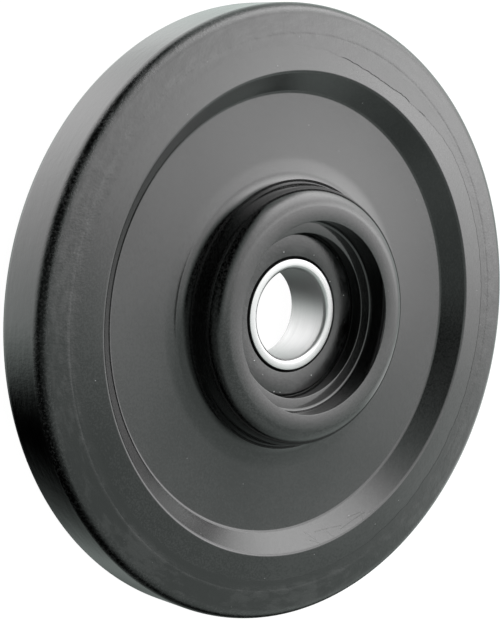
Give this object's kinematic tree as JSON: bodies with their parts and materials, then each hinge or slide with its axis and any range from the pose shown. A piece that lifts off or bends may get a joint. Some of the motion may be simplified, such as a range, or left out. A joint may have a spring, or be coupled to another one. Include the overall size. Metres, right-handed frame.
{
  "type": "idler wheel",
  "caption": "Plain track idler wheel: glossy black disc with a raised hub, bonded rubber tyre and a sealed ball bearing in the hub, free to turn on a 20 mm axle.",
  "frame": {"origin": "on the wheel's axis, in the middle of the bearing's width", "axes": "+Z along the axis out of the front side, the one the picture shows; the wheel lies on the back face of its hub"},
  "size_m": [0.1368, 0.1368, 0.0236],
  "materials": {
    "painted_casting": "gloss black paint over cast aluminium",
    "tyre_rubber": "smooth moulded black rubber, satin",
    "bearing_steel": "fine ground, bright",
    "ball_steel": "polished",
    "cage_steel": "pressed, bright",
    "seal_rubber": "moulded black rubber, satin",
    "plate_steel": "plain pressed sheet",
    "spring_steel": "phosphated, dull dark"
  },
  "bodies": {
    "wheel": {"wheel_disc": "painted_casting", "tyre": "tyre_rubber", "bearing_outer_ring": "bearing_steel", "front_seal": "seal_rubber", "back_seal": "seal_rubber", "front_seal_plate": "plate_steel", "back_seal_plate": "plate_steel", "circlip": "spring_steel"},
    "inner_ring": {"bearing_inner_ring": "bearing_steel"},
    "ball_set": {"ball_1": "ball_steel", "ball_2": "ball_steel", "ball_3": "ball_steel", "ball_4": "ball_steel", "ball_5": "ball_steel", "ball_6": "ball_steel", "ball_7": "ball_steel", "ball_8": "ball_steel", "ball_9": "ball_steel", "front_cage_half": "cage_steel", "back_cage_half": "cage_steel", "cage_rivets": "cage_steel"}
  },
  "joints": [
    {"name": "bearing_turn", "type": "hinge", "parent": "wheel", "child": "inner_ring", "pos_m": [0, 0, 0], "axis": [0, 0, 1], "continuous": true},
    {"name": "ball_set_turn", "type": "hinge", "parent": "wheel", "child": "ball_set", "pos_m": [0, 0, 0], "axis": [0, 0, 1], "continuous": true}
  ],
  "couplings": [
    {"joint": "ball_set_turn", "follows": "bearing_turn", "ratio": 0.39758}
  ]
}
